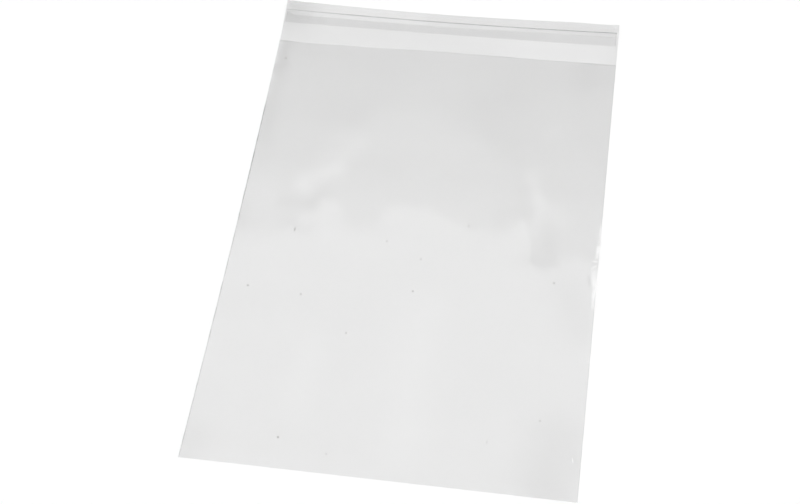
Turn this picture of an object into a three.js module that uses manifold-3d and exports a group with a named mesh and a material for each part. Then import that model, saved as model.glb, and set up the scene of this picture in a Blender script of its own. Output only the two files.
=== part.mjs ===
// Clear film bag with a self-seal flap, empty and lying on its back panel.
// One web of film is folded up at the bottom and welded along both sides. The back panel is the longer
// one, and what stands past the mouth is the flap. An adhesive strip runs across the flap under a release
// liner, whose lower part is left dry so that a fingertip can lift it.
// Millimetres, +Z up: X runs across the bag, Y from the bottom fold to the flap. The origin lies on the
// table, under the middle of the opened-out bag.

import * as THREE from 'three';
import Module from 'manifold-3d';

const wasm = await Module();
wasm.setup();

// Film web
const bagWidth = 225;
const frontHeight = 305.5; // bottom fold to mouth
const flapHeight = 32.5; // mouth to the flap's free edge
const filmThickness = 0.03;

// Side welds and bottom fold: the two panels are fused over a narrow strip
const weldWidth = 1.2;
const foldWidth = 0.8;
const fusedDepth = 0.01; // how far the front panel's film is melted into the back panel's
const beadWidth = 0.6; // the hot wire that cuts the web leaves a bead along the cut
const beadHeight = 0.12;
const frontInset = 0.1; // the front panel shrinks back from the cut by this much

// Closure on the flap
const linerFromMouth = 15;
const linerHeight = 10.3;
const linerThickness = 0.05;
const adhesiveHeight = 3.5;
const adhesiveThickness = 0.02;
const adhesiveFromLinerTop = 0.4;
const closureEndInset = 1.3; // both strips stop this far inside the flap's side edges
const layerClearance = 0.01; // between the flap, the adhesive and the liner

// How the empty bag lies: the two panels cling together in its lower half, air parts them above that, the
// lip gapes, the left side is drawn in and the flap's corners curl up
const clingGap = 0.05; // between panels that cling but aren't fused
const airLoft = 1.0; // how much further well-parted panels stand from each other
const airAtCling = 0.4; // share of that loft just above the cling line
const airAtMouth = 0.85;
const airEdge = 10; // distance over which the air begins
const clingHeight = 150; // from the bottom fold to the cling line, at the bag's sides
const sideRise = 30; // distance over which the front panel comes up from a weld
const foldRise = 34; // distance over which it comes up from the fold
const lipGape = 1.1; // what the middle of the lip stands higher than the air lifts it
const lipFall = 60; // distance over which the panel comes down from the lip
const lipReach = 70; // how far to each side of the middle the lip gapes
const leftBow = 1.25; // how far the left side is drawn in at its middle
const curlHeight = 3.0;
const curlPower = 1.7; // the curl steepens towards the flap's free edge

// The cling line bulges up at two places, measured from the bag's left weld
const clingBulges = [
	{ middle: 114.5, width: 40, height: 30 },
	{ middle: 48.5, width: 22, height: 25 },
];

// Soft buckles, each along a line from start to end: the panels are closer or further apart there by a share
// of the loft. Places are measured from the bag's left weld and from its bottom fold.
const buckles = [
	{ start: [ 28, 185 ], end: [ 68, 233 ], width: 8, share: -0.35 },
	{ start: [ 28, 178 ], end: [ 46, 179 ], width: 6, share: 0.26 },
	{ start: [ 174, 211 ], end: [ 196, 178 ], width: 8, share: -0.28 },
	{ start: [ 195, 161 ], end: [ 190, 150 ], width: 8, share: 0.3 },
	{ start: [ 208, 133 ], end: [ 216, 109 ], width: 11, share: 0.22 },
	{ start: [ 209, 35 ], end: [ 210, 4 ], width: 15, share: 0.36 },
];

// Spacing of the points that carry the film's curves
const panelPitch = 7;
const backPitch = 20; // the back panel lies flat, so only its drawn-in side needs them
const flapPitch = 5;

const left = -bagWidth / 2;
const right = bagWidth / 2;
const bottom = -(frontHeight + flapHeight) / 2;
const mouth = bottom + frontHeight;
const flapEdge = mouth + flapHeight;
const linerLower = mouth + linerFromMouth;
const linerUpper = linerLower + linerHeight;
const adhesiveUpper = linerUpper - adhesiveFromLinerTop;
const adhesiveLower = adhesiveUpper - adhesiveHeight;

// Evenly spaced values from one end to the other, both ends included
function spaced( from, to, pitch ) {

	const steps = Math.max( 1, Math.round( ( to - from ) / pitch ) );
	return Array.from( { length: steps + 1 }, ( _, i ) => THREE.MathUtils.lerp( from, to, i / steps ) );

}

// Values with no repeats, in order, which several stretches share at their ends
function inOrder( ...stretches ) {

	return [ ...new Set( stretches.flat() ) ].sort( ( a, b ) => a - b );

}

function total( values ) {

	return values.reduce( ( sum, value ) => sum + value, 0 );

}

function smoothRise( t ) {

	const u = THREE.MathUtils.clamp( t, 0, 1 );
	return Math.sin( u * Math.PI / 2 ) ** 2;

}

// Height of the back panel's underside: flat on the table, with the flap's two corners curled up
function undersideHeight( x, y ) {

	const along = Math.max( 0, ( y - mouth ) / flapHeight );
	const across = x / right;
	return curlHeight * along ** curlPower * across ** 2;

}

// A rounded hump, highest at 0 and gone a few widths away
function hump( away, width ) {

	return Math.exp( - ( ( away / width ) ** 2 ) );

}

function buckleShare( x, y, { start, end, width, share } ) {

	const point = new THREE.Vector3( x - left, y - bottom, 0 );
	const line = new THREE.Line3( new THREE.Vector3( ...start, 0 ), new THREE.Vector3( ...end, 0 ) );
	const nearest = line.closestPointToPoint( point, true, new THREE.Vector3() );
	return share * hump( nearest.distanceTo( point ), width );

}

// Share of the loft by which air parts the panels: none where they cling
function airShare( x, y ) {

	const bulges = clingBulges.map( ( { middle, width, height } ) => height * hump( x - left - middle, width ) );
	const aboveLine = y - bottom - clingHeight - total( bulges );
	const up = THREE.MathUtils.clamp( ( y - bottom - clingHeight ) / ( frontHeight - clingHeight ), 0, 1 );
	const air = smoothRise( aboveLine / airEdge + 0.5 ) * THREE.MathUtils.lerp( airAtCling, airAtMouth, up );
	return Math.max( 0, air + total( buckles.map( ( buckle ) => buckleShare( x, y, buckle ) ) ) );

}

// Space between the two panels: none over the welds and the fold, and widest at the lip
function panelGap( x, y ) {

	const fromWeld = right - weldWidth - Math.abs( x );
	const fromFold = y - bottom - foldWidth;
	if ( fromWeld <= 0 || fromFold <= 0 ) return 0;

	const gape = lipGape * hump( x, lipReach ) * smoothRise( 1 - ( mouth - y ) / lipFall );
	const lift = airLoft * airShare( x, y ) + gape;
	return clingGap + lift * smoothRise( fromWeld / sideRise ) * smoothRise( fromFold / foldRise );

}

// How far a point is drawn in from the left: most half-way up the bag, and nothing at its right side
function drawnIn( x, y ) {

	return leftBow * ( 1 - ( y / bottom ) ** 2 ) * ( right - x ) / bagWidth;

}

// Bead along the cut, highest in the middle of its width
function beadRise( x ) {

	const fromCut = right - frontInset - Math.abs( x );
	return beadHeight * Math.max( 0, 1 - Math.abs( 2 * fromCut / beadWidth - 1 ) );

}

// Closed sheet over a grid of columns and rows, between a lower and an upper height, drawn in from the left
function closedSheet( columns, rows, lower, upper ) {

	const count = columns.length;
	const positions = [];
	for ( const y of rows ) {

		for ( const x of columns ) {

			const across = x + drawnIn( x, y );
			positions.push( across, y, lower( x, y ), across, y, upper( x, y ) );

		}

	}

	const low = ( i, j ) => ( j * count + i ) * 2;
	const high = ( i, j ) => low( i, j ) + 1;
	const triangles = [];
	const quad = ( a, b, c, d ) => triangles.push( a, b, c, a, c, d );
	const lastColumn = count - 1;
	const lastRow = rows.length - 1;

	for ( let j = 0; j < lastRow; j ++ ) {

		for ( let i = 0; i < lastColumn; i ++ ) {

			quad( high( i, j ), high( i + 1, j ), high( i + 1, j + 1 ), high( i, j + 1 ) );
			triangles.push( low( i, j ), low( i + 1, j + 1 ), low( i + 1, j ) );
			triangles.push( low( i, j ), low( i, j + 1 ), low( i + 1, j + 1 ) );

		}

		quad( low( 0, j + 1 ), low( 0, j ), high( 0, j ), high( 0, j + 1 ) );
		quad( low( lastColumn, j ), low( lastColumn, j + 1 ), high( lastColumn, j + 1 ), high( lastColumn, j ) );

	}

	for ( let i = 0; i < lastColumn; i ++ ) {

		quad( low( i, 0 ), low( i + 1, 0 ), high( i + 1, 0 ), high( i, 0 ) );
		quad( low( i + 1, lastRow ), low( i, lastRow ), high( i, lastRow ), high( i + 1, lastRow ) );

	}

	const geometry = new THREE.BufferGeometry();
	geometry.setAttribute( 'position', new THREE.Float32BufferAttribute( positions, 3 ) );
	geometry.setIndex( triangles );
	return geometry;

}

function toSolid( geometry ) {

	const vertProperties = geometry.getAttribute( 'position' ).array;
	const triVerts = new Uint32Array( geometry.getIndex().array );
	return new wasm.Manifold( new wasm.Mesh( { numProp: 3, vertProperties, triVerts } ) );

}

function toGeometry( solid ) {

	const { vertProperties, triVerts } = solid.getMesh();
	const geometry = new THREE.BufferGeometry();
	geometry.setAttribute( 'position', new THREE.BufferAttribute( vertProperties, 3 ) );
	geometry.setIndex( new THREE.BufferAttribute( triVerts, 1 ) );
	return geometry;

}

const innerColumns = spaced( left + weldWidth, right - weldWidth, panelPitch );
const panelRows = spaced( bottom + foldWidth, mouth, panelPitch );
const closureRows = [ linerLower, adhesiveLower, adhesiveUpper, linerUpper ];
const lowerFlapRows = spaced( mouth, linerLower, flapPitch );
const upperFlapRows = spaced( linerUpper, flapEdge, flapPitch );

// Film bag: the back panel with its flap, and the front panel fused to it along both sides and the fold
function filmBag() {

	const backTop = ( x, y ) => undersideHeight( x, y ) + filmThickness;
	const backColumns = inOrder( [ left, right ], innerColumns );
	const backRows = inOrder( spaced( bottom, mouth, backPitch ), lowerFlapRows, closureRows, upperFlapRows );
	const backPanel = closedSheet( backColumns, backRows, undersideHeight, backTop );

	const frontLower = ( x, y ) => backTop( x, y ) - fusedDepth + panelGap( x, y );
	const frontUpper = ( x, y ) => frontLower( x, y ) + filmThickness + beadRise( x );
	const cut = right - frontInset;
	const beadColumns = [ cut, cut - beadWidth / 2, cut - beadWidth ];
	const frontColumns = inOrder( beadColumns, beadColumns.map( ( x ) => - x ), innerColumns );
	const frontRows = inOrder( [ bottom + frontInset ], panelRows );
	const frontPanel = closedSheet( frontColumns, frontRows, frontLower, frontUpper );

	return toGeometry( toSolid( backPanel ).add( toSolid( frontPanel ) ) );

}

// Strip across the flap, lying a set height above the flap's upper face and following its curl
function flapStrip( rows, height, thickness ) {

	const lower = ( x, y ) => undersideHeight( x, y ) + filmThickness + height;
	const upper = ( x, y ) => lower( x, y ) + thickness;
	const end = right - closureEndInset;
	const columns = inOrder( [ - end, end ], innerColumns.filter( ( x ) => Math.abs( x ) < end ) );
	return closedSheet( columns, rows, lower, upper );

}

const filmFinish = { color: 0xe9ecec, roughness: 0.08, metalness: 0, transparent: true, opacity: 0.25 };
const linerFinish = { color: 0xe6e8e8, roughness: 0.15, metalness: 0, transparent: true, opacity: 0.35 };
const adhesiveFinish = { color: 0xeceae2, roughness: 0.3, metalness: 0, transparent: true, opacity: 0.3 };

function namedMesh( name, geometry, finish ) {

	const mesh = new THREE.Mesh( geometry, new THREE.MeshStandardMaterial( finish ) );
	mesh.name = name;
	return mesh;

}

const adhesiveRise = layerClearance;
const linerRise = adhesiveRise + adhesiveThickness + layerClearance;

const adhesive = flapStrip( [ adhesiveLower, adhesiveUpper ], adhesiveRise, adhesiveThickness );
const liner = flapStrip( closureRows, linerRise, linerThickness );

const bag = new THREE.Group();
bag.name = 'self_seal_film_bag';
bag.add( namedMesh( 'film_bag', filmBag(), filmFinish ) );
bag.add( namedMesh( 'adhesive_strip', adhesive, adhesiveFinish ) );
bag.add( namedMesh( 'release_liner', liner, linerFinish ) );

export default bag;
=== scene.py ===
"""Clear film bag with a self-seal flap, lying open and empty on a white table. Metres, +Z up."""
import math

import bpy
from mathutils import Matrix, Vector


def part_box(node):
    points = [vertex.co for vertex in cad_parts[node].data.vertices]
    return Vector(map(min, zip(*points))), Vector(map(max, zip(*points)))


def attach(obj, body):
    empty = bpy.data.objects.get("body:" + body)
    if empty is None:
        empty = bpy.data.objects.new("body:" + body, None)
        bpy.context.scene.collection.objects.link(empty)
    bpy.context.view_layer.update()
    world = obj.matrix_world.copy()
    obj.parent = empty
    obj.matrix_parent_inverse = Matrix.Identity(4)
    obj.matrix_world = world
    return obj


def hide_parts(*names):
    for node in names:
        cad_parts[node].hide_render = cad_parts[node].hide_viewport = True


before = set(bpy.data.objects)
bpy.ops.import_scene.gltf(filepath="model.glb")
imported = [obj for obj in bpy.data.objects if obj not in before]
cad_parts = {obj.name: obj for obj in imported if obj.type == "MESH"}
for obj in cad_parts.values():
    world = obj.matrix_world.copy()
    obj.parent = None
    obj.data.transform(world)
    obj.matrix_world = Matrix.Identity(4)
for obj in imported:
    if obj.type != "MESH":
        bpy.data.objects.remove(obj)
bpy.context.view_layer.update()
scene = bpy.context.scene


# Film bag: one web of clear polypropylene film, folded up at the bottom and welded along both sides.
# The longer back panel runs on past the mouth as the flap, whose corners curl up a little. The empty
# pocket lies on its back: the panels cling together below, and air parts them above, up to the mouth.
film_low, film_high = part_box("film_bag")
adhesive_low, adhesive_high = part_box("adhesive_strip")
liner_low, liner_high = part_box("release_liner")
half_width = film_high[0]
bag_bottom = film_low[1]
flap_edge = film_high[1]
bare_flap = 0.015
mouth = liner_low[1] - bare_flap
film_gauge = 0.00003


class Wire:
    """An output in a node tree. Operators on it add Math nodes."""

    def __init__(self, tree, socket):
        self.tree = tree
        self.socket = socket

    def __add__(self, other):
        return self.tree.math("ADD", self, other)

    def __sub__(self, other):
        return self.tree.math("SUBTRACT", self, other)

    def __rsub__(self, other):
        return self.tree.math("SUBTRACT", other, self)

    def __mul__(self, other):
        return self.tree.math("MULTIPLY", self, other)

    def __truediv__(self, other):
        return self.tree.math("DIVIDE", self, other)

    def __pow__(self, other):
        return self.tree.math("POWER", self, other)

    __radd__ = __add__
    __rmul__ = __mul__


class Tree:
    """A node tree, with one method that makes any node and short forms of the ones used most."""

    def __init__(self, tree):
        self.tree = tree

    def node(self, kind, settings=(), sockets=(), out=0):
        node = self.tree.nodes.new(kind)
        for name, value in dict(settings).items():
            setattr(node, name, value)
        for key, value in dict(sockets).items():
            for link in value if isinstance(value, list) else [value]:
                if isinstance(link, Wire):
                    self.tree.links.new(link.socket, node.inputs[key])
                else:
                    node.inputs[key].default_value = link
        return Wire(self, node.outputs[out]) if node.outputs else node

    def math(self, operation, *values):
        return self.node("ShaderNodeMath", {"operation": operation}, enumerate(values))

    def size(self, value):
        return self.math("ABSOLUTE", value)

    def most(self, *values):
        return self.math("MAXIMUM", *values)

    def least(self, *values):
        return self.math("MINIMUM", *values)

    def rise(self, value, start, end):
        """0 before start, 1 after end, and a smooth step between them."""
        sockets = {"Value": value, "From Min": start, "From Max": end}
        return self.node("ShaderNodeMapRange", {"interpolation_type": "SMOOTHSTEP"}, sockets)

    def ramp(self, value, start, end):
        """0 before start, 1 after end, and a straight line between them."""
        return self.node("ShaderNodeMapRange", sockets={"Value": value, "From Min": start, "From Max": end})

    def noise(self, place, scale, detail=2.0):
        return self.node("ShaderNodeTexNoise", sockets={"Vector": place, "Scale": scale, "Detail": detail})

    def apart(self, vector):
        parts = self.node("ShaderNodeSeparateXYZ", sockets={"Vector": vector}).socket.node
        return [Wire(self, parts.outputs[axis]) for axis in "XYZ"]

    def together(self, x, y, z):
        return self.node("ShaderNodeCombineXYZ", sockets={"X": x, "Y": y, "Z": z})

    def moved(self, geometry, x, y, z):
        """The geometry with each of its points at the place given."""
        sockets = {"Geometry": geometry, "Position": self.together(x, y, z)}
        return self.node("GeometryNodeSetPosition", sockets=sockets)


def geometry_tree(name, sizes):
    """A geometry node tree with a named input for each size, and the wires that carry them."""
    group = bpy.data.node_groups.new(name, "GeometryNodeTree")
    group.interface.new_socket("Geometry", in_out="OUTPUT", socket_type="NodeSocketGeometry")
    group.interface.new_socket("Geometry", in_out="INPUT", socket_type="NodeSocketGeometry")
    for size, value in sizes.items():
        kind = "NodeSocketInt" if isinstance(value, int) else "NodeSocketFloat"
        group.interface.new_socket(size, in_out="INPUT", socket_type=kind)
    tree = Tree(group)
    start = group.nodes.new("NodeGroupInput")
    return tree, {socket.name: Wire(tree, socket) for socket in start.outputs if socket.name}


sharp_angle = math.radians(40)


def made_by(tree, name, sizes, geometry, material, points=(), edges=(), grades=(), gauge=0.0):
    """A plain mesh object from a geometry node tree, with the tree's inputs set to the sizes given.

    The tree may start from points, with edges between them or a grade for each. A sheet gets its gauge on the
    inner side of its faces, with closed edges that stay sharp.
    """
    realized = tree.node("GeometryNodeRealizeInstances", sockets={"Geometry": geometry})
    smooth = tree.node("GeometryNodeSetShadeSmooth", sockets={"Geometry": realized})
    finished = tree.node("GeometryNodeSetMaterial", sockets={"Geometry": smooth, "Material": material})
    tree.node("NodeGroupOutput", sockets={"Geometry": finished})
    start = bpy.data.meshes.new(name + "_start")
    start.from_pydata(list(points), list(edges), [])
    if grades:
        start.attributes.new("grade", "FLOAT", "POINT").data.foreach_set("value", grades)
    holder = bpy.data.objects.new(name + "_start", start)
    scene.collection.objects.link(holder)
    modifier = holder.modifiers.new("shape", "NODES")
    modifier.node_group = tree.tree
    for item in tree.tree.interface.items_tree:
        if item.in_out == "INPUT" and item.name in sizes:
            modifier[item.identifier] = sizes[item.name]
    if gauge:
        thicken = holder.modifiers.new("gauge", "SOLIDIFY")
        thicken.thickness = gauge
        thicken.offset = -1.0
    graph = bpy.context.evaluated_depsgraph_get()
    mesh = bpy.data.meshes.new_from_object(holder.evaluated_get(graph))
    mesh.set_sharp_from_angle(angle=sharp_angle)
    mesh.name = name
    bpy.data.objects.remove(holder)
    piece = bpy.data.objects.new(name, mesh)
    scene.collection.objects.link(piece)
    return piece


flap_sizes = {"Mouth": mouth, "Flap Height": flap_edge - mouth, "Half Width": half_width, "Curl": 0.003}
curl_power = 1.7


def flap_curl(tree, size, x, y):
    """Height of the flap's underside above the table: its two corners curl up."""
    along = tree.most((y - size["Mouth"]) / size["Flap Height"], 0.0)
    across = x / size["Half Width"]
    return along ** curl_power * across * across * size["Curl"]


def ridge_height(tree, x, y, start, end, width, height):
    """A rounded ridge along the line from start to end, in millimetres from the middle of the bag."""
    run = math.dist(start, end) / 1000
    along = [(b - a) / 1000 / run for a, b in zip(start, end)]
    from_x = x - start[0] / 1000
    from_y = y - start[1] / 1000
    on_line = tree.least(tree.most(from_x * along[0] + from_y * along[1], 0.0), run)
    away_x = from_x - on_line * along[0]
    away_y = from_y - on_line * along[1]
    away = (away_x * away_x + away_y * away_y) * (-1e6 / width ** 2)
    return tree.math("EXPONENT", away) * (height / 1000)


# How far air parts the two panels. The clinging lower half ends in a line that steps up and down on its way
# across: each step has its start, its end and its height in millimetres.
cling_line = -0.014
cling_steps = [
    (-84, -70, 15), (-67, -60, 11), (-53, -44, -14), (-27, -19, 14),
    (4, 34, -12), (56, 62, 8), (66, 73, -32), (82, 92, 9),
]
# Places where air is missing or left over, as start, end, width and how much
air_patches = [
    # A streak that clings on the left, and a fold of air under it
    ((-75, 26), (-58, 36), 7, -0.36),
    ((-54, 43), (-46, 61), 6, -0.18),
    ((-81, 21), (-75, 19), 5, -0.18),
    ((-87, 8), (-68, 9), 4, 0.26),
    ((-67, 11), (-61, 18), 4, 0.16),
    ((-104, 22), (-96, 4), 14, -0.15),
    ((-51, 72), (-49, 68), 7, 0.13),
    ((-50, 40), (-48, 36), 5, 0.11),
    ((-46, -4), (-26, -6), 6, 0.10),
    ((-75, -10), (-66, -11), 3.5, 0.26),
    # Another on the right, with air to its left and below it
    ((66, 42), (71, 29), 5, -0.28),
    ((74, 23), (73, 4), 6, -0.24),
    ((82, 19), (89, 11), 5, -0.20),
    ((73, 27), (73.5, 13), 1.6, -0.12),
    ((50, 14), (64, 16), 6, 0.13),
    ((80, 3), (83, -10), 5, 0.20),
    ((68, -19), (84, -19), 5, 0.19),
    ((50, 9), (51, 2), 5, 0.09),
    ((79, 80), (80, 78), 6, -0.14),
    # The lower corners and the right side
    ((97, -134), (98, -166), 15, 0.36),
    ((84, -152), (84, -162), 10, 0.14),
    ((-112, -168), (-106, -158), 11, 0.26),
    ((96, -36), (104, -60), 11, 0.22),
    # Clearer places in the clinging half
    ((8, -64), (12, -150), 14, -0.12),
    ((-50, -96), (-52, -128), 9, -0.12),
    # The left side and the mouth
    ((-108.5, 54), (-108.5, 100), 5, 0.28),
    ((-108.5, 72), (-108.5, 64), 5, 0.14),
    ((-108, 42), (-108, 30), 6, 0.11),
    ((-108.5, 110), (-108.5, 132), 5, 0.64),
    ((-113, 92), (-113, 138), 1.8, -0.60),
    ((-112, -8), (-108, -26), 9, 0.09),
    ((92, 118), (94, 132), 9, 0.24),
    ((-92, 132), (-108, 132), 8, 0.10),
    ((30, 96), (50, 104), 12, 0.12),
    ((36, 76), (52, 66), 12, 0.10),
    ((-76, 84), (-50, 88), 14, 0.08),
    ((-6, 104), (4, 122), 18, -0.08),
    ((9, 82), (13, 78), 7, 0.12),
    ((-30, 42), (-20, 40), 8, 0.06),
]
# Painted shade between the creases beside the right weld, added to the air and the haze; it stays where it is
crease_shade = [
    ((109.2, -16.6), (111.6, -16.5), 0.8, 0.7),
    ((106.6, -25.6), (108.6, -31.0), 0.9, 0.6),
]
# All other edges of the air wander to either side, by up to half of this reach
wander_reach = 0.010
wander_scale = 70.0
# The line is sharp in the middle and fades towards the sides
line_blur, left_blur, right_blur = 0.003, 0.008, 0.003
# An arch of thinner air stands over the middle of the line
arch_middle = (-0.010, 0.008)
arch_reach = (0.070, 0.079)
# Air above the line: at the line, a little past it, on the way up to the mouth, and outside the arch
line_air, near_air, rising_air, outer_air, corner_air = 0.27, 0.14, 0.10, 0.09, 0.26
rise_start, rise_run = 0.010, 0.127
least_air = -0.25


def air_between(tree, x, y):
    """0 or less where the panels cling to each other, up to about 1 where they are well apart, plus painted
    shade.
    """
    shade = 0.0
    for start, end, width, much in crease_shade:
        shade = shade + ridge_height(tree, x, y, start, end, width, much * 1000)
    place = {"Vector": tree.together(x, y, 0.0), "Scale": wander_scale}
    wander = tree.node("ShaderNodeTexNoise", sockets=place, out="Color")
    wander_x, wander_y, _ = tree.apart(wander)
    x = x + (wander_x - 0.5) * wander_reach
    y = y + (wander_y - 0.5) * wander_reach
    line = cling_line
    for start, end, height in cling_steps:
        line = line + tree.rise(x, start / 1000, end / 1000) * (height / 1000)
    blur = tree.rise(x, -0.076, -0.096) * left_blur + tree.rise(x, 0.080, 0.095) * right_blur + line_blur
    above = tree.rise(y - line, blur * -1.0, blur)
    arch_x = (x - arch_middle[0]) / arch_reach[0]
    arch_y = (y - arch_middle[1]) / arch_reach[1]
    arch = tree.rise(tree.math("SQRT", arch_x * arch_x + arch_y * arch_y), 0.93, 1.07)
    up = tree.least(tree.most((y - rise_start) / rise_run, 0.0), 1.0)
    air = line_air + tree.rise(y, 0.005, 0.040) * near_air + up * rising_air
    air = above * (air + arch * (outer_air + up * up * corner_air))
    for start, end, width, much in air_patches:
        air = air + ridge_height(tree, x, y, start, end, width, much * 1000)
    return tree.most(air, least_air) + shade


# Stretches of the right weld that have been bent up: from and to, how wide, and how high at the cut
bent_weld = [
    (1, 14, 2.0, 0.69), (-15, -1, 2.6, 0.90), (-34, -19, 4.2, 1.41), (-50, -34, 2.6, 0.91),
    (-86, -78, 2.0, 0.69),
]
bend_power = 1.05
bend_fade = 0.002
# Sharp puckers in the front panel beside them, as start, end, width and height
weld_puckers = [
    ((108.9, -14.6), (112.2, -15.0), 0.8, 0.25),
    ((108.9, -20.0), (112.2, -17.0), 0.8, 0.25),
    ((107.3, -142.6), (108.3, -146.8), 0.6, 0.30),
]

web_sizes = {
    **flap_sizes, "Bottom": bag_bottom, "Film Gauge": film_gauge, "Columns": 151, "Back Rows": 80,
    "Front Rows": 204, "Weld": 0.0012, "Side Rise": 0.030, "Fold Rise": 0.034, "Loft": 0.0008,
    "Lip Rise": 0.0004, "Lip Run": 0.060, "Lip Reach": 0.070, "Ripple": 0.00004, "Weld Ripple": 0.00006,
    "Fold Turn": 0.00012, "Side Bow": 0.00125,
}


def weld_lift(tree, size, x, y):
    """Height of the bent stretches of the right weld, which both panels follow."""
    lift = 0.0
    for start, end, width, height in bent_weld:
        along = tree.rise(y, start / 1000 - bend_fade, start / 1000 + bend_fade)
        along = along * tree.rise(y, end / 1000 + bend_fade, end / 1000 - bend_fade)
        across = tree.ramp(x, size["Half Width"] - width / 1000, size["Half Width"])
        lift = lift + along * across ** bend_power * (height / 1000)
    return lift


def left_bow(tree, size, y):
    """How far the left side is drawn in, most of all at its middle."""
    from_middle = y / size["Bottom"]
    return (1.0 - from_middle * from_middle) * size["Side Bow"]


def film_web(tree, size):
    """The folded web's outer face: down the back from the flap's edge, round the fold and up the front."""
    rows = size["Back Rows"] + size["Front Rows"]
    grid = tree.node("GeometryNodeMeshGrid", sockets={
        "Size X": 1.0, "Size Y": rows, "Vertices X": size["Columns"], "Vertices Y": rows + 1.0,
    })
    across, row, _ = tree.apart(tree.node("GeometryNodeInputPosition"))
    # Columns crowd at the welds, most of all at the puckered right one, and the front's rows half-way up
    left_run, right_run = 0.003, 0.008
    left_share, right_share = 0.05, 0.77
    row_crowding = 0.62
    back_crowding = 0.6
    across = across + 0.5
    middle_run = size["Half Width"] * 2.0 - (left_run + right_run)
    x = tree.ramp(across, 0.0, left_share) * left_run
    x = x + tree.ramp(across, left_share, right_share) * middle_run
    x = x + tree.ramp(across, right_share, 1.0) * right_run - size["Half Width"]
    past_fold = row + rows * 0.5 - size["Back Rows"]
    # The rows next to the fold are close to it, so that the turn stays sharp
    turn = tree.least(tree.size(past_fold), 1.0) * size["Fold Turn"]
    on_back = tree.most(past_fold * -1.0 - 1.0, 0.0) / (size["Back Rows"] - 1.0)
    on_back = on_back * (1.0 + back_crowding - on_back * back_crowding)
    on_front = tree.most(past_fold - 1.0, 0.0) / (size["Front Rows"] - 1.0)
    on_front = on_front + tree.math("SINE", on_front * (2 * math.pi)) * (row_crowding / (2 * math.pi))
    front_height = size["Mouth"] - size["Bottom"] - size["Fold Turn"]
    # Neither the lip nor the flap's edge is cut quite straight
    lip_droop, left_droop, lip_waver = 0.0008, 0.0007, 0.0012
    middle_droop, corner_droop = 0.0004, 0.0008
    lip_dip = tree.rise(x, -0.112, -0.095) * tree.rise(x, 0.105, 0.085) * lip_droop
    lip_dip = lip_dip + tree.rise(tree.size(x + 0.065), 0.055, 0.015) * left_droop
    lip_dip = lip_dip + (tree.noise(tree.together(x, 0.0, 9.0), 40.0, 1.0) - 0.5) * lip_waver
    middle = x / 0.045
    edge_dip = tree.math("EXPONENT", middle * middle * -1.0) * middle_droop
    edge_dip = edge_dip + tree.rise(x, 0.082, 0.102) * corner_droop
    back_height = front_height + size["Flap Height"] - edge_dip
    y = on_back * back_height + on_front * (front_height - lip_dip) + turn + size["Bottom"]
    front = tree.math("GREATER_THAN", past_fold, 0.5)
    fold = tree.math("LESS_THAN", tree.size(past_fold), 0.5)
    air = air_between(tree, x, y)
    for name, value in (("front_panel", front), ("air", air)):
        settings = {"data_type": "FLOAT", "domain": "POINT"}
        sockets = {"Geometry": grid, "Name": name, "Value": value}
        grid = tree.node("GeometryNodeStoreNamedAttribute", settings, sockets)

    from_weld = size["Half Width"] - size["Weld"] - tree.size(x)
    from_fold = y - size["Bottom"] - size["Weld"]
    inside = tree.rise(from_weld, 0.0, size["Side Rise"]) * tree.rise(from_fold, 0.0, size["Fold Rise"])
    place = tree.together(x, y, front)
    back_z = flap_curl(tree, size, x, y) + tree.noise(place, 24.0, 1.0) * size["Ripple"] * inside
    back_z = back_z + weld_lift(tree, size, x, y)

    lip = tree.rise(size["Mouth"] - y, size["Lip Run"], 0.0) * size["Lip Rise"]
    spread = x / size["Lip Reach"]
    front_gap = tree.most(air, 0.0) * size["Loft"] + lip * tree.math("EXPONENT", spread * spread * -1.0)
    front_gap = front_gap + tree.noise(place, 17.0, 1.0) * size["Ripple"]
    pucker = tree.noise(tree.together(x, y * 2.0, 3.0), 130.0, 1.0) * size["Weld Ripple"]
    pucker = pucker * tree.rise(from_weld, 0.012, 0.002)
    for crumple in weld_puckers:
        pucker = pucker + ridge_height(tree, x, y, *crumple)
    pucker_fade = 0.0009
    pucker = pucker * tree.rise(from_weld, -pucker_fade, pucker_fade)
    layer_gap = 0.000004
    front_z = back_z + size["Film Gauge"] * 2.0 + layer_gap + front_gap * inside + pucker

    z = front * front_z + fold * size["Film Gauge"] + (1.0 - front) * (1.0 - fold) * back_z
    x = x + left_bow(tree, size, y) * (1.0 - across)
    return tree.moved(grid, x, y, z)


def film_surface(tree, haze, mirror, roughness, cloud, normal=None):
    """Clear film: a face mirrors by Fresnel's law, and haze takes a little of what goes through."""
    # Facing is 1 - cos of the viewing angle, so this is Schlick's form for plastic of index 1.5
    facing = tree.node("ShaderNodeLayerWeight", sockets={"Blend": 0.5}, out="Facing")
    mirrored = (facing ** 5.0 * 0.96 + 0.04) * mirror
    through = tree.node("ShaderNodeBsdfTransparent", sockets={"Color": (1.0, 1.0, 1.0, 1.0)})
    clouded = tree.node("ShaderNodeBsdfDiffuse", sockets={"Color": (cloud, cloud, cloud, 1.0)})
    body = tree.node("ShaderNodeMixShader", sockets={0: haze, 1: through, 2: clouded})
    sockets = {"Color": (1.0, 1.0, 1.0, 1.0), "Roughness": roughness}
    if normal is not None:
        sockets["Normal"] = normal
    gloss = tree.node("ShaderNodeBsdfGlossy", sockets=sockets)
    surface = tree.node("ShaderNodeMixShader", sockets={0: mirrored, 1: body, 2: gloss})
    tree.node("ShaderNodeOutputMaterial", sockets={"Surface": surface})


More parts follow.
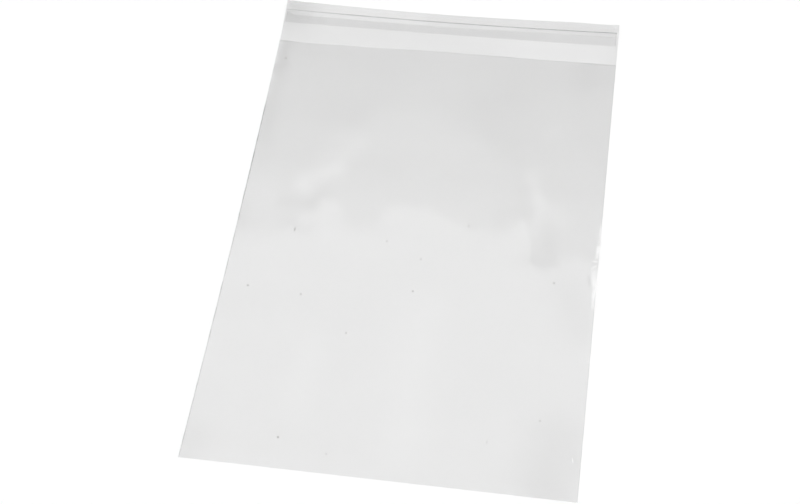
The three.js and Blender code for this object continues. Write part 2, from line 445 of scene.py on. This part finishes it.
def speckled_surface(tree, scale, dark, light, roughness):
    """An opaque surface whose colour varies between two greys in specks of the scale given."""
    specks = tree.noise(tree.node("ShaderNodeTexCoord", out="Object"), scale, 2.0)
    # The node's sockets 6 and 7 are the two colours, and its output 2 is their mix
    colour = tree.node("ShaderNodeMix", {"data_type": "RGBA"}, {0: specks, 6: dark, 7: light}, out=2)
    surface = tree.node("ShaderNodeBsdfPrincipled", sockets={"Base Color": colour, "Roughness": roughness})
    tree.node("ShaderNodeOutputMaterial", sockets={"Surface": surface})


def new_material(name):
    material = bpy.data.materials.new(name)
    material.use_nodes = True
    material.node_tree.nodes.clear()
    return material, Tree(material.node_tree)


flap_haze = 0.057
back_haze = 0.050
front_haze = 0.0335
clung_haze = 0.575
cut_edge_painted_shade = 0.025
band_contrast = 0.3
glue_clearing = 0.27
right_end_darkening = 0.16
end_darkening_at_mouth, end_darkening_upwards, right_glue_darkening = 0.003, 0.062, 0.011
clear_patch = 0.009
clear_film, film_nodes = new_material("clear_film")
film_place = film_nodes.node("ShaderNodeTexCoord", out="Object")
film_x, film_y, _ = film_nodes.apart(film_place)
on_front_panel = film_nodes.node("ShaderNodeAttribute", {"attribute_name": "front_panel"}, out="Fac")
on_flap = film_nodes.rise(film_y, mouth - 0.0002, mouth + 0.0002) * (1.0 - on_front_panel)
# Where the panels cling, the two faces between them no longer mirror, and haze less
apart = film_nodes.node("ShaderNodeAttribute", {"attribute_name": "air"}, out="Fac")
apart = apart * (1.0 - on_flap) + on_flap
panel_haze = back_haze + on_front_panel * (front_haze - back_haze) + on_flap * (flap_haze - back_haze)
film_haze_and_shade = panel_haze * (clung_haze + apart * (1.0 - clung_haze))
# Thickness bands that the film's extrusion leaves, along the web
bands = film_nodes.noise(film_nodes.together(film_x * 4.0, film_y * 90.0, on_front_panel * 7.0), 1.0, 3.0)
film_haze_and_shade = film_haze_and_shade * (1.0 - band_contrast / 2 + bands * band_contrast)
# The cut edge of the mouth has a line of painted shade, added to the film's haze
lip_cut = film_nodes.rise(film_y, mouth - 0.0018, mouth - 0.0008) * on_front_panel


def glue_edge(tree, x):
    """Where the glue begins on the flap: it stops short at the left end and thins out to the right."""
    return tree.rise(x, -0.1065, -0.110) * 0.002 + tree.rise(x, -0.01, 0.11) * 0.0009 + adhesive_low[1]


film_glue_edge = glue_edge(film_nodes, film_x)
film_glue_side = film_nodes.rise(film_y - film_glue_edge, 0.0, 0.0002)
film_glue = film_glue_side * film_nodes.rise(film_y, adhesive_high[1], adhesive_high[1] - 0.0002)
film_haze_and_shade = film_haze_and_shade * (1.0 - film_glue * glue_clearing) + lip_cut * cut_edge_painted_shade
# The flap is darker towards its ends, the left one more, and most of all towards the free edge
flap_ends = film_nodes.rise(film_x, -0.080, -0.112) + film_nodes.rise(film_x, 0.060, 0.105) * right_end_darkening
flap_darkening = end_darkening_at_mouth + film_nodes.ramp(film_y, mouth, flap_edge) * end_darkening_upwards
flap_darkening = flap_ends * flap_darkening + film_nodes.rise(film_x, -0.03, 0.0) * film_glue_side * right_glue_darkening
# The bare film next to the mouth is clearer on the right
clearer = film_nodes.rise(film_x, 0.02, 0.05) * film_nodes.rise(film_x, 0.112, 0.102)
clearer = clearer * film_nodes.rise(film_y, liner_low[1] + 0.001, liner_low[1] - 0.001)
film_haze_and_shade = film_haze_and_shade + (flap_darkening - clearer * clear_patch) * on_flap
# One of a panel's two faces stops mirroring where it clings, and so does the one under the glue
film_mirror = (film_nodes.least(apart, 1.0) * 0.5 + 0.5) * (1.0 - film_glue * 0.5)
film_peel = film_nodes.node("ShaderNodeBump", sockets={
    "Strength": 1.0, "Distance": 0.000003, "Height": film_nodes.noise(film_place, 90.0, 1.0),
})
film_surface(film_nodes, film_haze_and_shade, film_mirror, roughness=0.02, cloud=0.20, normal=film_peel)

web_tree, web_wires = geometry_tree("folded web", web_sizes)
film = made_by(
    web_tree, "folded_film_web", web_sizes, film_web(web_tree, web_wires), clear_film, gauge=film_gauge,
)
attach(film, "root")
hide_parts("film_bag")


# Side welds: the hot wire that cuts the bag from the web melts both panels' edges into one thin bead.
# The left bead is the thicker one.
bead_flatness = (1.0, 0.3, 1.0)
bead_seat = 0.45
bead_sizes = {
    "Half Width": half_width, "Bottom": bag_bottom, "Mouth": mouth, "Left Bead": 0.00034,
    "Right Bead": 0.00012, "Inset": 0.0003, "Points": 420, "Side Bow": web_sizes["Side Bow"],
}


def round_bead(tree, path, radius):
    """A closed, flattened tube along a path."""
    ring = tree.node("GeometryNodeCurvePrimitiveCircle", sockets={"Resolution": 8, "Radius": 1.0})
    ring = tree.node("GeometryNodeTransform", sockets={"Geometry": ring, "Scale": bead_flatness})
    sockets = {"Curve": path, "Profile Curve": ring, "Scale": radius, "Fill Caps": True}
    return tree.node("GeometryNodeCurveToMesh", sockets=sockets)


def weld_beads(tree, size):
    """A bead of uneven thickness along each side of the pocket."""
    beads = []
    for side, bead in ((-1.0, size["Left Bead"]), (1.0, size["Right Bead"])):
        line = tree.node("GeometryNodeCurvePrimitiveLine", sockets={
            "Start": tree.together(0.0, size["Bottom"], 0.0), "End": tree.together(0.0, size["Mouth"], 0.0),
        })
        path = tree.node("GeometryNodeResampleCurve", sockets={"Curve": line, "Count": size["Points"]})
        _, y, _ = tree.apart(tree.node("GeometryNodeInputPosition"))
        x = (size["Half Width"] - size["Inset"]) * side
        x = x + left_bow(tree, size, y) * (1.0 if side < 0 else 0.0)
        path = tree.moved(path, x, y, bead * bead_seat + weld_lift(tree, size, x, y))
        lumps = tree.noise(tree.node("GeometryNodeInputPosition"), 160.0, 2.0)
        beads.append(round_bead(tree, path, bead * (0.5 + lumps)))
    return tree.node("GeometryNodeJoinGeometry", sockets={"Geometry": beads})


bead_film, bead_nodes = new_material("weld_bead_film")
bead_place = bead_nodes.node("ShaderNodeTexCoord", out="Object")
bead_x, bead_y, _ = bead_nodes.apart(bead_place)
# The left bead is darkest half-way up the bag, and the right one hardly shows
bead_shade = bead_nodes.rise(bead_y, -0.02, 0.02) * 0.4 + 0.6 - bead_nodes.rise(bead_y, 0.075, 0.095)
bent_shade = bead_nodes.rise(bead_y, -0.054, -0.050) * bead_nodes.rise(bead_y, -0.034, -0.038) * 0.8 + 0.15
bead_shade = bead_shade + bead_nodes.rise(bead_x, -0.01, 0.01) * (bent_shade - bead_shade)
bead_haze = bead_nodes.rise(bead_nodes.noise(bead_place, 110.0, 2.0), 0.35, 0.7) * 0.12 + 0.05
film_surface(bead_nodes, bead_haze * bead_shade, 1.0, roughness=0.12, cloud=0.18)
bead_tree, bead_wires = geometry_tree("weld beads", bead_sizes)
beads = made_by(bead_tree, "side_weld_beads", bead_sizes, weld_beads(bead_tree, bead_wires), bead_film)
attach(beads, "root")


# Adhesive strip: a narrow line of clear pressure-sensitive glue, coated across the flap.
# A little is squeezed out along the liner's upper edge, where it shows as a dark line.
def flap_strip(tree, size):
    """A strip that lies across the flap and follows its curl, with its free side a little wavy."""
    grid = tree.node("GeometryNodeMeshGrid", sockets={
        "Size X": size["Width"], "Size Y": size["Height"], "Vertices X": 181, "Vertices Y": 13,
    })
    x, across, _ = tree.apart(tree.node("GeometryNodeInputPosition"))
    y = across + size["Middle"]
    dry = tree.rise(y, size["Glue Edge"], size["Glue Edge"] - size["Height"] * 0.6)
    wave = tree.noise(tree.together(x, 0.0, 5.0), 26.0, 1.0) * size["Wave"] * dry
    z = flap_curl(tree, size, x, y) + size["Lift"] + wave
    return tree.moved(grid, x, y, z)


def strip_sizes(low, high, lift, wave):
    return {
        **flap_sizes, "Width": high[0] - low[0], "Height": high[1] - low[1], "Middle": (low[1] + high[1]) / 2,
        "Lift": lift, "Wave": wave, "Glue Edge": adhesive_low[1],
    }


strip_clearance = 0.00001
adhesive_gauge = 0.00002
adhesive_lift = film_gauge + strip_clearance + adhesive_gauge
glue, glue_nodes = new_material("clear_adhesive")
glue_place = glue_nodes.node("ShaderNodeTexCoord", out="Object")
glue_haze = glue_nodes.noise(glue_place, 300.0, 2.0) * 0.012
film_surface(glue_nodes, glue_haze, 0.0, roughness=0.3, cloud=0.5)
glue_sizes = strip_sizes(adhesive_low, adhesive_high, adhesive_lift, 0.0)
glue_tree, glue_wires = geometry_tree("adhesive strip", glue_sizes)
adhesive = made_by(
    glue_tree, "adhesive_line", glue_sizes, flap_strip(glue_tree, glue_wires), glue, gauge=adhesive_gauge,
)
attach(adhesive, "root")
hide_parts("adhesive_strip")

squeeze_sizes = {
    **flap_sizes, "Start": liner_low[0], "End": liner_high[0], "Line": liner_high[1], "Lift": adhesive_lift,
    "Bead": 0.00036,
}
squeeze_seat = 0.35


def squeezed_line(tree, size):
    """The thin line of glue along the liner's upper edge, of uneven thickness."""
    line = tree.node("GeometryNodeCurvePrimitiveLine", sockets={
        "Start": tree.together(size["Start"], size["Line"], 0.0),
        "End": tree.together(size["End"], size["Line"], 0.0),
    })
    path = tree.node("GeometryNodeResampleCurve", sockets={"Curve": line, "Count": 360})
    x, y, _ = tree.apart(tree.node("GeometryNodeInputPosition"))
    lumps = tree.noise(tree.together(x, 0.0, 2.0), 60.0, 2.0)
    z = flap_curl(tree, size, x, y) + size["Lift"] + size["Bead"] * squeeze_seat
    path = tree.moved(path, x, y, z)
    return round_bead(tree, path, size["Bead"] * (0.5 + lumps))


squeezed_glue, squeeze_nodes = new_material("squeezed_adhesive")
squeeze_place = squeeze_nodes.node("ShaderNodeTexCoord", out="Object")
squeeze_x, _, _ = squeeze_nodes.apart(squeeze_place)
# The line is cloudier at its right end and clearer at its left one
squeeze_ends = squeeze_nodes.rise(squeeze_x, 0.06, 0.09) * 0.06
squeeze_ends = squeeze_ends - squeeze_nodes.rise(squeeze_x, -0.06, -0.09) * 0.10
squeeze_haze = squeeze_nodes.noise(squeeze_place, 90.0, 2.0) * 0.16 + 0.06 + squeeze_ends
film_surface(squeeze_nodes, squeeze_haze, 0.8, roughness=0.2, cloud=0.18)
squeeze_tree, squeeze_wires = geometry_tree("squeezed line", squeeze_sizes)
squeezed = made_by(
    squeeze_tree, "adhesive_squeeze_out", squeeze_sizes, squeezed_line(squeeze_tree, squeeze_wires),
    squeezed_glue,
)
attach(squeezed, "root")


# Release liner: a strip of clear film over the adhesive, whose lower part is left dry to be lifted.
liner_gauge = 0.00005
liner_lift = adhesive_lift + strip_clearance + liner_gauge
liner_haze = 0.024
liner_cut_painted_shade = 0.06
liner_film, liner_nodes = new_material("liner_film")
liner_place = liner_nodes.node("ShaderNodeTexCoord", out="Object")
liner_x, liner_y, _ = liner_nodes.apart(liner_place)
wet_edge = glue_edge(liner_nodes, liner_x) + (liner_nodes.noise(liner_place, 140.0, 2.0) - 0.5) * 0.0006
wet = liner_nodes.rise(liner_y, wet_edge, wet_edge + 0.0003)
liner_bands = liner_nodes.noise(liner_nodes.together(liner_x * 30.0, liner_y * 300.0, 4.0), 1.0, 2.0)
liner_bands = liner_bands * 0.4 + 0.75 - liner_nodes.rise(liner_x, 0.05, 0.09) * 0.4
# The liner's cut ends carry a line of painted shade
liner_cut = liner_nodes.rise(liner_nodes.size(liner_x), liner_high[0] - 0.0008, liner_high[0] - 0.0003)
# Where the glue wets it, the liner has one face in air instead of two, and most of its haze goes
liner_haze_and_shade = liner_haze * liner_bands * (1.0 - wet * 0.7) + liner_cut * liner_cut_painted_shade
film_surface(liner_nodes, liner_haze_and_shade, 1.0 - wet * 0.5, roughness=0.04, cloud=0.20)
liner_sizes = strip_sizes(liner_low, liner_high, liner_lift, 0.0002)
liner_tree, liner_wires = geometry_tree("release liner", liner_sizes)
liner = made_by(
    liner_tree, "peel_liner", liner_sizes, flap_strip(liner_tree, liner_wires), liner_film, gauge=liner_gauge,
)
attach(liner, "root")
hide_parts("release_liner")


# Crease highlights: beside the right weld the front panel has been creased sharply, and the light its creases
# catch is painted as white lines.
# Each is a thin raised line between two places on the panel, in millimetres from the middle of the bag.
painted_highlight_creases = [
    ((108.6, -14.5), (112.0, -15.0)), ((108.6, -20.1), (112.0, -16.9)), ((111.0, -81.5), (111.2, -84.0)),
    ((107.3, -142.6), (108.3, -146.8)),
]
crease_sizes = {"Crease": 0.0004}
crease_steps = 9


def on_the_front(places):
    """Points on the front panel under the places given."""
    lying_film = film.evaluated_get(bpy.context.evaluated_depsgraph_get())
    return [lying_film.ray_cast((place[0] / 1000, place[1] / 1000, 0.05), (0, 0, -1))[1] for place in places]


def crease_lines(tree, size):
    """A flattened line with tapered ends along each crease."""
    path = tree.node("GeometryNodeMeshToCurve", sockets={"Mesh": size["Geometry"]})
    along = tree.node("GeometryNodeSplineParameter", out="Factor")
    taper = tree.math("SINE", along * math.pi) * 0.9 + 0.1
    return round_bead(tree, path, size["Crease"] * taper)


crease_places = []
crease_edges = []
for start, end in painted_highlight_creases:
    first = len(crease_places)
    for step in range(crease_steps + 1):
        crease_places.append([a + (b - a) * step / crease_steps for a, b in zip(start, end)])
    crease_edges += [(first + step, first + step + 1) for step in range(crease_steps)]
# Painted highlight: a pale speckled grey stands in for the light that the sharp creases catch
painted_highlight_film, crease_nodes = new_material("painted_highlight_film")
speckled_surface(crease_nodes, 900.0, (0.82, 0.82, 0.82, 1.0), (0.98, 0.98, 0.98, 1.0), roughness=0.5)
bpy.context.view_layer.update()
crease_tree, crease_wires = geometry_tree("crease marks", crease_sizes)
creases = made_by(
    crease_tree, "crease_marks", crease_sizes, crease_lines(crease_tree, crease_wires), painted_highlight_film,
    on_the_front(crease_places), crease_edges,
)
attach(creases, "root")


# Dust: grains and lint that the film's static has drawn to the front panel.
# Each has a place on the panel in millimetres from the middle of the bag, and its size beside the others.
grain_places = [
    (-16.3, -14.0, 0.92), (6.1, -24.5, 0.94), (-95.4, -54.1, 1.05), (-62.2, -56.7, 1.02), (4.4, -47.2, 1.04),
    (-30.8, -79.8, 1.0), (-58.3, -150.2, 1.14), (87.3, -32.3, 1.02), (87.6, -122.9, 0.86),
    (-105.2, 121.0, 1.14), (-29.3, -157.2, 0.74),
]
lint_places = [(-74.3, -11.5, 1.08), (32.1, 2.2, 0.83), (59.4, -139.2, 0.70)]
grain_seat = 0.9
grain_flatness = 0.2


def dust_grains(tree, size):
    """A rounded grain of its own size on each point, stretched by chance."""
    grain = tree.node("GeometryNodeMeshIcoSphere", sockets={"Radius": size["Grain"], "Subdivisions": 2})
    above = tree.together(0.0, 0.0, size["Grain"] * grain_seat)
    grain = tree.node("GeometryNodeTransform", sockets={"Geometry": grain, "Translation": above})
    points = tree.node("GeometryNodeMeshToPoints", sockets={"Mesh": size["Geometry"]})
    # The node's sockets 2 and 3 are the least and the most, and its output 1 is the number
    limits = {2: 0.95, 3: 1.05, "Seed": size["Seed"]}
    chance = tree.node("FunctionNodeRandomValue", {"data_type": "FLOAT"}, limits, out=1)
    grade = tree.node("GeometryNodeInputNamedAttribute", {"data_type": "FLOAT"}, {"Name": "grade"})
    stretch = tree.together(chance * grade, size["Length"] / chance * grade, grade * grain_flatness)
    sockets = {"Points": points, "Instance": grain, "Scale": stretch}
    return tree.node("GeometryNodeInstanceOnPoints", sockets=sockets)


dust_grey, dust_nodes = new_material("dust_grey")
speckled_surface(dust_nodes, 4000.0, (0.32, 0.32, 0.32, 1.0), (0.60, 0.59, 0.58, 1.0), roughness=0.9)
# Each kind's name, its places, the radius of a grain and how long it is beside its width
dust_kinds = (("dust_grains", grain_places, 0.00058, 1.2), ("lint_flecks", lint_places, 0.00034, 5.0))
for dust_name, places, grain, length in dust_kinds:
    dust_sizes = {"Grain": grain, "Length": length, "Seed": 3}
    dust_tree, dust_wires = geometry_tree(dust_name, dust_sizes)
    settled = dust_grains(dust_tree, dust_wires)
    grades = [grade for _, _, grade in places]
    dust = made_by(dust_tree, dust_name, dust_sizes, settled, dust_grey, on_the_front(places), grades=grades)
    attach(dust, "root")


# Table: a plain white top, a hair below the film so that the two faces don't meet.
table_drop = 0.0002
table_reach = 6.0
table_white = 0.95
table_mesh = bpy.data.meshes.new("table")
table_corners = [(-1, -1), (1, -1), (1, 1), (-1, 1)]
table_points = [(x * table_reach, y * table_reach, -table_drop) for x, y in table_corners]
table_mesh.from_pydata(table_points, [], [(0, 1, 2, 3)])
table = bpy.data.objects.new("table", table_mesh)
scene.collection.objects.link(table)
table_paint, table_nodes = new_material("white_table")
table_colour = (table_white, table_white, table_white, 1.0)
table_shader = table_nodes.node("ShaderNodeBsdfDiffuse", sockets={"Color": table_colour})
table_nodes.node("ShaderNodeOutputMaterial", sockets={"Surface": table_shader})
table_mesh.materials.append(table_paint)


# Light: large softboxes on each side and behind the camera, in a dim room with a pale horizon.
# Places in it are where a ray crosses a level plane one metre up: u to the right, v to the back.
world = bpy.data.worlds.new("studio")
world.use_nodes = True
world.node_tree.nodes.clear()
studio = Tree(world.node_tree)
softbox_light = 5.4
room_light = 0.3
horizon_light = 1.0
ray_x, ray_y, ray_z = studio.apart(studio.node("ShaderNodeTexCoord", out="Generated"))
up = studio.most(ray_z, 0.02)
u = ray_x / up
v = ray_y / up
u_size = studio.size(u)
# All of them hang higher than 37 degrees, so that the film doesn't mirror them when it is seen from low down
lowest, low_fade = 1.30, 1.10
far_out = studio.math("SQRT", u * u + v * v)
high_up = studio.rise(far_out, lowest, low_fade)
sides = studio.rise(u_size, 0.62, 0.96) * studio.rise(studio.size(v + 0.1), 1.25, 0.95)
front = studio.rise(v, -0.45, -0.70) * studio.rise(u_size, 0.9, 0.6)
horizon = studio.rise(ray_z, 0.22, 0.10) * horizon_light
softboxes = studio.most(sides, front) * high_up * softbox_light
strength = studio.most(studio.most(room_light, softboxes), horizon)
sky = studio.node("ShaderNodeBackground", sockets={"Color": (1.0, 1.0, 1.0, 1.0), "Strength": strength})
studio.node("ShaderNodeOutputWorld", sockets={"Surface": sky})
scene.world = world
# Stacked film takes many see-through faces to cross, on the way in and on the way out
scene.cycles.transparent_max_bounces = 48


# Camera: above the bag's lower edge, looking down on it, a little from the right.
lens_data = bpy.data.cameras.new("camera")
lens_data.sensor_width = 36.0
lens_data.lens = 65.24
camera = bpy.data.objects.new("camera", lens_data)
camera.location = (0.10374, -0.47184, 0.74924)
camera.rotation_euler = [math.radians(angle) for angle in (31.6434, 3.3869, 8.3489)]
scene.collection.objects.link(camera)
scene.camera = camera
scene.view_settings.view_transform = "Standard"
